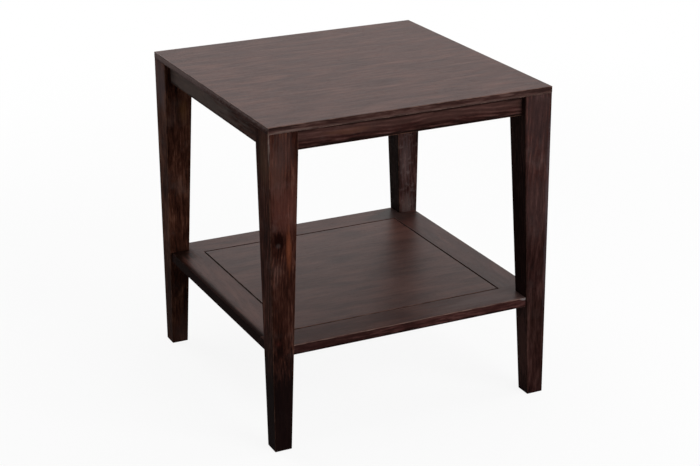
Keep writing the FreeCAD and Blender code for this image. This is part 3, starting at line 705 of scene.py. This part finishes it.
topLook = {
    **boardLook, "specular": 0.134, "roughness": 0.40, "ringContrast": 0.08, "fibreContrast": 0.16,
    "fleckContrast": 0.16, "bump": 0.14, "planing": 0.22, "lift": 0.08,
    "edgeDarkSide": 0.55, "edgeTint": (1.05, 1.4, 1.6),
    "edgeStainsAndPaintedLight": [
        ((-0.280, 0.28, 0.603), (0.004, 0.42, 0.03), (0.120, 0.086, 0.081, 1), 0.85),
        ((-0.280, 0, 0.611), (0.004, 3.0, 0.009), (0.140, 0.103, 0.096, 1), 0.75),
        ((0, -0.280, 0.598), (3.0, 0.003, 0.0035), (0.13, 0.085, 0.073, 1), 0.3),
        ((-0.245, -0.280, 0.599), (0.060, 0.003, 0.0040), (0.18, 0.125, 0.11, 1), 0.32),
        ((-0.262, -0.280, 0.606), (0.050, 0.003, 0.0050), (0.010, 0.005, 0.0045, 1), 0.75),
        ((0.240, -0.280, 0.605), (0.080, 0.003, 0.0060), (0.012, 0.007, 0.0065, 1), 0.45),
    ],
}

topGrain = {"seed": 11.0, "seedStep": 2.3, "pith": (0.03, 0.09), "pithStep": 0.015}

topWearAndHighlight = {"front": 0.35, "others": 0.15}     # wear and painted highlight along the edges of the front plank and of the rest


def makeTop():
    planks = nodesNamed("top_plank_")
    edgeLow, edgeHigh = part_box(planks[0])[0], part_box(planks[-1])[1]
    for number, node in enumerate(planks):
        low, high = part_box(node)
        look = {**topLook, "edgeWearAndHighlight": topWearAndHighlight["front" if number == 0 else "others"]}
        woods = makeBoardWoods(node, "X", (low + high) / 2, look, **heartOf(number, topGrain))
        plank = makeMember(f"{node}_piece", low, high, woods, edgeBox=(edgeLow, edgeHigh), **top)
        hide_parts(node)
    print(f"top: {len(planks)} glued planks")


shelfEdges = {
    "edgeRadius": 0.0010,
    "wearWidth": 0.004,
    "unevenness": 0.00005,
}

shelf = {
    "gap": 0.0025,                            # between the frame and the panel
    "slope": 0.0008,                          # planed off the frame's inner edges
    "tongue": (0.1895, 0.1955),               # heights of the panel's tongue
    "grooveDepth": 0.008,
    "tongueRoom": 0.001,                      # left free in the groove, so that the panel can swell
    "notchFit": 0.0001,
    "notchOutside": 0.28,                     # outer faces of the legs that the notches go round
    "notchBox": (0.1, 0.3),                   # lowest height, and greatest height and distance
    "wallBelow": 0.75,                        # Z of its normal, below which a face is a wall of the gap
    "rowLength": 0.004,                       # shorter than the members' one, on boards with the stepped painted shade
    "shadeSteps": {                            # painted shade in steps of less polish: (distance from the left edge, from which Y on, specular)
        "shelf_stile_left": [
            (0.045, 0.182, 0.110), (0.041, 0.190, 0.065), (0.0178, -1, 0.114), (0.0146, -1, 0.084),
            (0.0114, -1, 0.040), (0.0082, -1, 0.012), (0.0050, -1, 0.003)],
        "shelf_rail_front": [(0.0140, -1, 0.060), (0.0085, -1, 0.008)],
        "shelf_rail_back": [
            (0.045, -1, 0.100), (0.041, -1, 0.050), (0.0140, -1, 0.030), (0.0085, -1, 0.010)],
    },
}

# painted shade on the shelf round the back legs, where they meet it
backLeftShade = ((-0.263, 0.220, 0.202), (0.032, 0.044, 0.02), (0.006, 0.003, 0.002, 1), 0.88)
backRightShade = ((0.232, 0.232, 0.202), (0.075, 0.050, 0.02), (0.008, 0.005, 0.0045, 1), 0.8)

shelfLook = {
    **boardLook, "specular": 0.148, "roughness": 0.38, "ringContrast": 0.05, "fibreContrast": 0.08,
    "fleckContrast": 0.09, "bump": 0.12, "planing": 0.15, "lift": 0.12,
    "edgeShade": 0.6, "edgeTint": (1, 1.05, 1.25),
}

shelfLooks = {                                # what differs from that on one board
    "shelf_rail_front": {
        "specular": 0.082, "lift": 0.04, "edgeShade": 0.9, "edgeWearAndHighlight": 0.0, "wearAndHighlightAmount": 0.15,
        "stainsAndPaintedLight": [
            ((-0.24, -0.25, 0.202), (0.22, 0.05, 0.02), (0.014, 0.005, 0.004, 1), 0.4),
            ((0.25, -0.25, 0.202), (0.22, 0.05, 0.02), (0.090, 0.062, 0.058, 1), 0.5),
        ],
        "edgeStainsAndPaintedLight": [
            ((-0.21, -0.277, 0.190), (0.26, 0.008, 0.03), (0.012, 0.0045, 0.004, 1), 0.7),
            ((0, -0.277, 0.1825), (3.0, 0.008, 0.006), (0.006, 0.003, 0.0025, 1), 0.8),
            # painted highlight along the front edge
            ((0, -0.277, 0.202), (3.0, 0.0022, 0.0022), (0.20, 0.13, 0.11, 1), 0.75),
            ((-0.277, -0.23, 0.19), (0.005, 0.06, 0.03), (0.006, 0.003, 0.0025, 1), 0.9),
            # painted highlight at the right end of the front edge
            ((0.236, -0.277, 0.201), (0.010, 0.004, 0.006), (0.19, 0.17, 0.17, 1), 0.6),
        ],
    },
    "shelf_rail_back": {
        "edgeWearAndHighlight": 0.0, "wearAndHighlightAmount": 0.15,
        "edgeStainsAndPaintedLight": [((-0.277, 0.25, 0.19), (0.005, 0.06, 0.03), (0.006, 0.003, 0.0025, 1), 0.9)],
        "stainsAndPaintedLight": [backRightShade, backLeftShade],
    },
    "shelf_stile_right": {"specular": 0.145, "lift": 0.0, "stainsAndPaintedLight": [backRightShade]},
    "shelf_stile_left": {
        "specular": 0.132, "edgeShade": 0.22, "edgeWearAndHighlight": 0.0, "wearAndHighlightAmount": 0.0,
        "stainsAndPaintedLight": [
            # painted shade along the left edge
            ((-0.277, 0.0, 0.202), (0.018, 3.0, 0.03), (0.006, 0.0028, 0.0022, 1), 0.85),
            backLeftShade,
        ],
    },
    "shelf_panel_plank_1": {"specular": 0.131},
    "shelf_panel_plank_2": {"specular": 0.139},
    "shelf_panel_plank_4": {"specular": 0.160},
}

frameGrain = {"seed": 31.0, "seedStep": 1.9, "pith": (0.03, 0.07), "pithStep": 0.0}
panelGrain = {"seed": 51.0, "seedStep": 2.7, "pith": (0.04, 0.08), "pithStep": 0.02}

gapLooks = {                                  # walls of the gap, with painted light: the frame's, and the panel's
    "gap_wood": {"seed": 29.0, "specular": 0.02, "roughness": 0.6, "shade": 0.8,
                 "wearAndHighlightAmount": 0.0, "tint": (1, 1.15, 1.25)},
    "panel_gap_wood": {"seed": 28.0, "specular": 0.03, "roughness": 0.6, "shade": 1.5,
                       "wearAndHighlightAmount": 0.0, "tint": (1, 1.6, 1.9)},
}


def paintGapLight(piece, material, everySide=False):
    # painted light where the gap round the panel lies in shade: its walls get their own, lighter wood
    piece.data.materials.append(material)
    for face in piece.data.polygons:
        inwards = face.normal.x * face.center.x + face.normal.y * face.center.y < 0
        if abs(face.normal.z) < shelf["wallBelow"] and (everySide or inwards):
            face.material_index = len(piece.data.materials) - 1


def paintEdgeShade(piece, node, along, side, centre, look, heart):
    # painted shade along the left edge and beside the back left leg: copies of the wood with less
    # polish, step by step
    for reach, start, specular in shelf["shadeSteps"].get(node, ()):
        shadeLook = {**look, "specular": specular}
        shadeWood = makeWood(f"{node}_dull_shaded_wood", along, centre, **heart, **shadeLook)
        piece.data.materials.append(shadeWood)
        for face in piece.data.polygons:
            isUpper = face.normal.z > members["flatFrom"]
            if isUpper and face.center.x < side + reach and face.center.y > start:
                face.material_index = len(piece.data.materials) - 1


def makeShelf():
    gapWood, panelGapWood = (makeWood(name, "X", (0, 0, 0.19), **look)
                             for name, look in gapLooks.items())
    rails = ["shelf_rail_front", "shelf_rail_back"]
    stiles = ["shelf_stile_left", "shelf_stile_right"]
    planks = nodesNamed("shelf_panel_plank_")
    edgeLow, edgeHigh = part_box(rails[0])[0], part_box(rails[1])[1]
    opening = -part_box(rails[0])[1].y          # half the opening that the panel lies in
    groove = opening + shelf["grooveDepth"]
    legLow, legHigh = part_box("leg_front_left")
    climb = edgeHigh.z / legs["taperTop"]
    legShare = legs["footShare"] + (1 - legs["footShare"]) * climb
    notch = shelf["notchOutside"] - (legHigh.x - legLow.x) * legShare - shelf["notchFit"]
    notchLow, notchHigh = shelf["notchBox"]
    tongueLow, tongueHigh = shelf["tongue"]

    for number, node in enumerate(rails + stiles):
        low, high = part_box(node)
        along = "X" if node in rails else "Y"
        joinery = [
            ("DIFFERENCE", boxHelper((-groove, -groove, tongueLow), (groove, groove, tongueHigh))),
            ("DIFFERENCE", slopedHelper(opening, edgeHigh.z, shelf["slope"])),
            ("DIFFERENCE", slopedHelper(opening, edgeLow.z, -shelf["slope"])),
        ]
        if along == "X":
            side = math.copysign(1, low.y)
            for end in (-1, 1):
                inner = Vector((end * notch, side * notch, notchLow))
                outer = Vector((end * notchHigh, side * notchHigh, notchHigh))
                joinery.append(("DIFFERENCE", boxHelper(inner, outer)))
        else:
            low.y, high.y = -opening, opening
        middle = (low + high) / 2
        look = {**shelfLook, **shelfLooks.get(node, {})}
        heart = heartOf(number, frameGrain)
        woods = makeBoardWoods(node, along, middle, look, **heart)
        rowLength = (shelf if node in shelf["shadeSteps"] else members)["rowLength"]
        member = makeMember(f"{node}_piece", low, high, woods, edgeBox=(edgeLow, edgeHigh),
                            joinery=joinery, rowLength=rowLength, **shelfEdges)
        paintGapLight(member, gapWood)
        paintEdgeShade(member, node, along, low.x, middle, look, heart)
        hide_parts(node)

    panelHalf = opening - shelf["gap"]
    panelLow = Vector((-panelHalf, -panelHalf, edgeLow.z))
    panelHigh = Vector((panelHalf, panelHalf, edgeHigh.z))
    reach = groove - shelf["tongueRoom"]
    for number, node in enumerate(planks):
        low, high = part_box(node)
        low.x, high.x = panelLow.x, panelHigh.x
        low.y, high.y = max(low.y, panelLow.y), min(high.y, panelHigh.y)
        tongueStart = -reach if number == 0 else low.y
        tongueEnd = reach if number == len(planks) - 1 else high.y
        tongue = boxHelper((-reach, tongueStart, tongueLow), (reach, tongueEnd, tongueHigh))
        look = {**shelfLook, **shelfLooks.get(node, {})}
        woods = makeBoardWoods(node, "X", (low + high) / 2, look, **heartOf(number, panelGrain))
        plank = makeMember(f"{node}_piece", low, high, woods, edgeBox=(panelLow, panelHigh),
                           joinery=[("UNION", tongue)], **shelfEdges)
        paintGapLight(plank, panelGapWood, everySide=True)
        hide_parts(node)
    print(f"shelf: frame of 4, panel of {len(planks)} planks")


blockLook = {
    "seed": 71.0, "dark": (0.05, 0.024, 0.013), "middle": (0.16, 0.085, 0.048),
    "light": (0.30, 0.17, 0.10), "haze": 0.0, "specular": 0.2, "roughness": 0.7,
}

dowelLook = {
    "seed": 81.0, "dark": (0.35, 0.22, 0.12), "middle": (0.50, 0.34, 0.20),
    "light": (0.62, 0.45, 0.28), "haze": 0.0, "specular": 0.3, "roughness": 0.6,
    "fleckContrast": 0.2, "patchContrast": 0.2,
}


def finishHidden():
    # these keep their CAD shape
    finishes = {
        "corner_block_": makeWood("blockWood", "X", (0, 0, 0.58), **blockLook),
        "shelf_dowel_": makeWood("dowelWood", "X", (0, 0, 0.1925), **dowelLook),
    }
    for start, material in finishes.items():
        for node in nodesNamed(start):
            for slot in bpy.data.objects[node].material_slots:
                slot.material = material
    print("hidden pieces: corner blocks and dowels")


screwSteel = {
    "bright": (0.62, 0.56, 0.42, 1),
    "shadeWood": (0.45, 0.38, 0.26, 1),
    "spotScale": 900.0,
    "spotRange": (0.4, 0.7),
    "roughness": 0.22,
    "roughSwing": 0.25,
    "bump": 0.2,
    "bumpDepth": 0.0001,
}


def makeScrewSteel():
    material, tree = newMaterial("screwSteel")
    place = addNode(tree, "ShaderNodeTexCoord").outputs["Object"]
    spots = noise(tree, place, screwSteel["spotScale"], 3.0, 0.6)
    color = blendColor(tree, ease(tree, spots, *screwSteel["spotRange"]),
                       screwSteel["bright"], screwSteel["shadeWood"])
    rough = calc(tree, "MULTIPLY_ADD", spots, screwSteel["roughSwing"], screwSteel["roughness"])
    normal = bumps(tree, spots, screwSteel["bump"], screwSteel["bumpDepth"])
    endMaterial(tree, {"Base Color": color, "Roughness": rough, "Normal": normal, "Metallic": 1.0})
    return material


screws = {
    "shankRadius": 0.00225,
    "headRadius": 0.005,
    "headHeight": 0.003,
    "pointLength": 0.006,
    "pitch": 0.0019,
    "threadDepth": 0.00055,
    "plainShare": 0.3,                        # of the shank, without a thread
    "recessLength": 0.005,
    "recessWidth": 0.0012,
    "recessDepth": 0.0016,
    "sides": 24,
    "headRings": 12,
}

legScrews = {
    "length": 0.045,
    "boxTrim": 0.001,                         # by which the CAD box of a slanted head is shorter
}

screwShape = {
    "headRows": 3,
    "rowsPerTurn": 5,                         # of the thread
    "threadStart": 0.05,                      # share of the shank over which the thread grows
    "tipShare": 0.04,                         # of the shank's radius
    "topNarrowing": 0.16,                     # of the head's top against its rim
    "domeDrop": 0.3,                          # of the head's height, from its middle outwards
    "rimHeight": 0.45,                        # of the head's height
    "armWall": 0.0002,                        # width of the recess's walls along its arms
    "endWall": 0.0003,                        # and at their ends
    "sharpAngle": 50,                         # degrees
}


def makeScrewTree():
    # A pan head wood screw on each point. The point's axis attribute leads from head to tip, and the
    # point lies under the head.
    number, whole, shape = "NodeSocketFloat", "NodeSocketInt", screwShape
    tree, value = newTree("panHeadScrew", [
        ("points", "NodeSocketGeometry", None), ("length", number, None), ("rows", whole, None),
        *((label, whole if isinstance(size, int) else number, size) for label, size in screws.items()),
        ("steel", "NodeSocketMaterial", None),
    ])
    tube = addNode(tree, "GeometryNodeMeshCylinder", {
        "Vertices": value["sides"], "Side Segments": value["rows"],
        "Fill Segments": value["headRings"], "Radius": 1.0, "Depth": 2.0,
    }, fill_type="TRIANGLE_FAN")
    spot = addNode(tree, "GeometryNodeInputPosition").outputs[0]
    x, y, z = separate(tree, spot)[:3]
    outSquare = calc(tree, "ADD", times(tree, x, x), times(tree, y, y))
    row = calc(tree, "ROUND", times(tree, calc(tree, "MULTIPLY_ADD", z, 0.5, 0.5), value["rows"]))

    # the first row is the top of the head, the next two its rim, and the shank starts at the fourth
    along = calc(tree, "DIVIDE", calc(tree, "SUBTRACT", row, shape["headRows"]),
                 calc(tree, "SUBTRACT", value["rows"], shape["headRows"]), clamp=True)
    depth = times(tree, along, value["length"])
    turn = calc(tree, "DIVIDE", calc(tree, "ARCTAN2", y, x), 2 * math.pi)
    wound = calc(tree, "SUBTRACT", calc(tree, "DIVIDE", depth, value["pitch"]), turn)
    saw = calc(tree, "ABSOLUTE", calc(tree, "MULTIPLY_ADD", calc(tree, "FRACT", wound), 2.0, -1.0))
    ridge = calc(tree, "MAXIMUM", calc(tree, "MULTIPLY_ADD", saw, -2.0, 1.0), 0.0)
    fullFrom = calc(tree, "ADD", value["plainShare"], shape["threadStart"])
    ridge = times(tree, ridge, ease(tree, along, value["plainShare"], fullFrom))
    hollow = times(tree, calc(tree, "SUBTRACT", 1.0, ridge), value["threadDepth"])
    toTip = calc(tree, "DIVIDE", calc(tree, "SUBTRACT", value["length"], depth), value["pointLength"])
    taper = calc(tree, "MAXIMUM", calc(tree, "MINIMUM", toTip, 1.0), shape["tipShare"])
    shank = times(tree, calc(tree, "SUBTRACT", value["shankRadius"], hollow), taper)

    isHead = calc(tree, "LESS_THAN", row, 2.5)
    isTop = calc(tree, "LESS_THAN", row, 0.5)
    isRim = calc(tree, "SUBTRACT", calc(tree, "LESS_THAN", row, 1.5), isTop)
    inner = times(tree, calc(tree, "SUBTRACT", 1.0, isHead), shank)
    rim = calc(tree, "MULTIPLY_ADD", isTop, -shape["topNarrowing"], 1.0)
    radius = calc(tree, "ADD", inner, times(tree, rim, isHead, value["headRadius"]))
    dome = times(tree, calc(tree, "MULTIPLY_ADD", outSquare, -shape["domeDrop"], 1.0), isTop)
    side = times(tree, isRim, shape["rimHeight"])
    rise = times(tree, calc(tree, "ADD", dome, side), value["headHeight"])

    # cross recess
    wide = times(tree, radius, calc(tree, "ABSOLUTE", x))
    high = times(tree, radius, calc(tree, "ABSOLUTE", y))
    nearArm = calc(tree, "MINIMUM", wide, high)
    alongArm = calc(tree, "MAXIMUM", wide, high)

    def within(distance, size, wall):
        half = times(tree, size, 0.5)
        return ease(tree, distance, half, calc(tree, "ADD", half, wall), 1.0, 0.0)

    sunk = times(tree, within(nearArm, value["recessWidth"], shape["armWall"]),
                 within(alongArm, value["recessLength"], shape["endWall"]),
                 value["recessDepth"], isTop)
    rise = calc(tree, "SUBTRACT", rise, sunk)

    placed = combine(tree, times(tree, x, radius), times(tree, y, radius),
                     calc(tree, "SUBTRACT", depth, rise))
    mesh = addNode(tree, "GeometryNodeSetPosition", {
        "Geometry": tube.outputs["Mesh"], "Position": placed}).outputs[0]
    mesh = addNode(tree, "GeometryNodeSetShadeSmooth", {"Geometry": mesh}).outputs[0]
    axis = addNode(tree, "GeometryNodeInputNamedAttribute", {"Name": "axis"}, data_type="FLOAT_VECTOR")
    turned = addNode(tree, "FunctionNodeAlignRotationToVector", {
        "Vector": axis.outputs["Attribute"]}, axis="Z").outputs[0]
    each = addNode(tree, "GeometryNodeInstanceOnPoints", {
        "Points": value["points"], "Instance": mesh, "Rotation": turned})
    endTree(tree, each.outputs[0], value["steel"])
    return tree


def makeScrews(name, nodes, spots, length, tree, steel):
    # spots: (place under the head, direction of the point)
    piece = newObject(name)
    piece.data.from_pydata([place for place, _ in spots], [], [])
    axes = piece.data.attributes.new("axis", "FLOAT_VECTOR", "POINT")
    for entry, (_, direction) in zip(axes.data, spots):
        entry.vector = direction
    modifier = piece.modifiers.new("screw", "NODES")
    modifier.node_group = tree
    threadRows = math.ceil(length / screws["pitch"] * screwShape["rowsPerTurn"])
    rows = screwShape["headRows"] + threadRows
    setInputs(modifier, {**screws, "length": length, "rows": rows, "steel": steel})
    freeze(piece)
    piece.data.set_sharp_from_angle(angle=math.radians(screwShape["sharpAngle"]))
    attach(piece, "root")
    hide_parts(*nodes)


def makeAllScrews(steel):
    tree = makeScrewTree()
    topNodes, legNodes = nodesNamed("top_screw_"), nodesNamed("leg_screw_")
    topSpots, legSpots = [], []
    for node in topNodes:
        low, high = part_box(node)
        middle = (low + high) / 2
        topSpots.append(((middle.x, middle.y, low.z + screws["headHeight"]), (0, 0, 1)))
    topLength = high.z - low.z - screws["headHeight"]
    for node in legNodes:
        low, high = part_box(node)
        middle = (low + high) / 2
        outwards = Vector((math.copysign(1, middle.x), math.copysign(1, middle.y), 0)).normalized()
        inset = (screws["headHeight"] + screws["headRadius"] - legScrews["boxTrim"]) * abs(outwards.x)
        place = Vector((low.x + inset if middle.x > 0 else high.x - inset,
                        low.y + inset if middle.y > 0 else high.y - inset, middle.z))
        legSpots.append((place, outwards))
    makeScrews("top_screws_piece", topNodes, topSpots, topLength, tree, steel)
    makeScrews("leg_screws_piece", legNodes, legSpots, legScrews["length"], tree, steel)
    print(f"screws: {len(topSpots)} up into the top, {len(legSpots)} into the legs")


studio = {
    "floorSize": 30.0,
    "floorColor": (0.65, 0.65, 0.65, 1),
    "floorWhite": 0.9,                        # share of plain white that the camera sees near the table
    "shadowReach": 0.7,                       # from there on it grows
    "whiteFrom": 2.6,                         # and from there on the floor is all white
    "surround": 0.10,                         # light from all round
}

white = (1, 1, 1, 1)


def seenDirectly(tree):
    # 1 for what the camera sees itself, in a reflection or through glass
    path = addNode(tree, "ShaderNodeLightPath").outputs
    return calc(tree, "MAXIMUM", path["Is Camera Ray"],
                calc(tree, "MAXIMUM", path["Is Glossy Ray"], path["Is Transmission Ray"]))


def makeFloor():
    shape = bmesh.new()
    bmesh.ops.create_grid(shape, x_segments=1, y_segments=1, size=studio["floorSize"])
    floor = newObject("floor")
    shape.to_mesh(floor.data)
    shape.free()
    material, tree = newMaterial("paleFloor")
    plain = addNode(tree, "ShaderNodeBsdfDiffuse", {"Color": studio["floorColor"]})
    glow = addNode(tree, "ShaderNodeEmission", {"Color": white, "Strength": 1.0})
    distance = vectorCalc(tree, "LENGTH", addNode(tree, "ShaderNodeTexCoord").outputs["Object"])
    whiteness = ease(tree, distance, studio["shadowReach"], studio["whiteFrom"],
                     studio["floorWhite"], 1.0)
    share = times(tree, seenDirectly(tree), whiteness)
    mixed = addNode(tree, "ShaderNodeMixShader", {0: share, 1: plain.outputs[0], 2: glow.outputs[0]})
    addNode(tree, "ShaderNodeOutputMaterial", {"Surface": mixed.outputs[0]})
    floor.data.materials.append(material)


def makeWorld():
    world = bpy.data.worlds.new("studio")
    scene.world = world
    world.use_nodes = True
    tree = world.node_tree
    tree.nodes.clear()
    surround = studio["surround"]
    strength = calc(tree, "MULTIPLY_ADD", seenDirectly(tree), 1.0 - surround, surround)
    glow = addNode(tree, "ShaderNodeBackground", {"Color": white, "Strength": strength})
    addNode(tree, "ShaderNodeOutputWorld", {"Surface": glow.outputs[0]})


lamps = {                                     # place, target, side and power of each soft square
    "key": ((1.4, -3.0, 1.7), (0, 0, 0.35), 2.2, 92.0),
    "sheen": ((1.5, -3.2, 1.8), (0, 0, 0.35), 2.4, 29.5),      # just behind the key
    "fill": ((-3.2, -0.6, 1.6), (0, 0, 0.35), 2.0, 2.0),
    "overhead": ((0, 0.6, 3.4), (0, 0, 0.3), 3.0, 70.0),
    "right": ((3.4, -0.6, 1.3), (0, 0, 0.35), 2.0, 60.0),
    "back": ((-1.3, 3.4, 1.4), (0, 0, 0.35), 2.0, 60.0),
}


def makeLights():
    for name, (place, target, side, power) in lamps.items():
        data = bpy.data.lights.new(name, "AREA")
        data.shape = "SQUARE"
        data.size = side
        data.energy = power
        light = bpy.data.objects.new(name, data)
        light.location = place
        towards = Vector(target) - Vector(place)
        light.rotation_euler = towards.to_track_quat("-Z", "Y").to_euler()
        light.visible_glossy = name != "key"  # the key gives no glare, and the sheen lamp a soft one
        scene.collection.objects.link(light)


camera = {
    "place": (-1.3486, -2.8128, 1.4710),
    "turn": (69.862, 0.361, -25.862),         # degrees
    "lens": 88.33,
    "sensor": 36.0,
    "shiftY": -0.0336,
}


def makeCamera():
    data = bpy.data.cameras.new("camera")
    data.sensor_width = camera["sensor"]
    data.lens = camera["lens"]
    data.shift_y = camera["shiftY"]
    eye = bpy.data.objects.new("camera", data)
    eye.location = camera["place"]
    eye.rotation_euler = [math.radians(angle) for angle in camera["turn"]]
    scene.collection.objects.link(eye)
    scene.camera = eye


makeLegs()
makeAprons()
makeTop()
makeShelf()
finishHidden()
makeAllScrews(makeScrewSteel())
makeFloor()
makeWorld()
makeLights()
makeCamera()
print(f"studio: floor, world, {len(lamps)} lamps and camera")
scene.view_settings.view_transform = "Standard"
